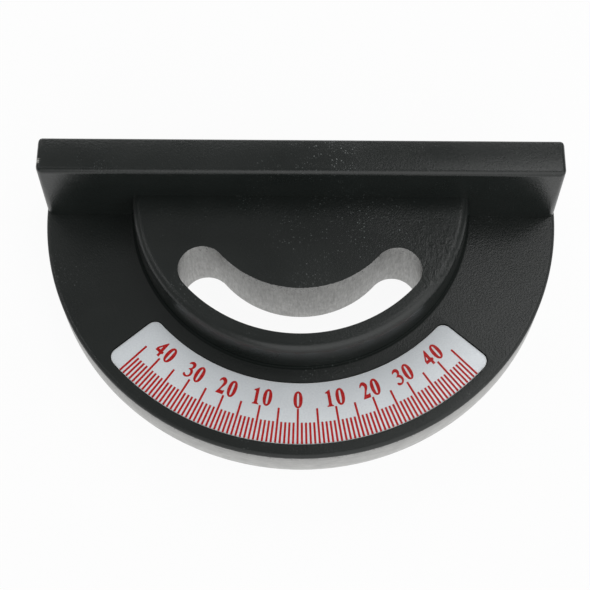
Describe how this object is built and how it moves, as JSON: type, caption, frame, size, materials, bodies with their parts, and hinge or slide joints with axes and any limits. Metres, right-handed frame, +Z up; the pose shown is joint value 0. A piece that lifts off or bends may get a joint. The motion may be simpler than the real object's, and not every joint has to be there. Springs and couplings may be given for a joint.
{
  "type": "miter gauge head",
  "caption": "Half-round cast head of a miter gauge with an upright fence, a raised boss with a curved clamp slot, and a printed angle scale.",
  "frame": {"origin": "on the pivot axis, which is the centre of every arc, at the underside: the mouth of the pivot hole", "axes": "+X along the fence, +Y out of the fence's working face, +Z up from the surface that the head slides on"},
  "size_m": [0.127, 0.0711, 0.0327],
  "materials": {
    "black_casting": "semi-gloss black paint over a cast surface, bare metal at the rim and in the slot",
    "scale_aluminium": "satin anodised sheet",
    "red_ink": "printed ink"
  },
  "bodies": {
    "root": {"gauge_head": "black_casting", "scale_plate": "scale_aluminium", "scale_marks": "red_ink"}
  },
  "joints": []
}
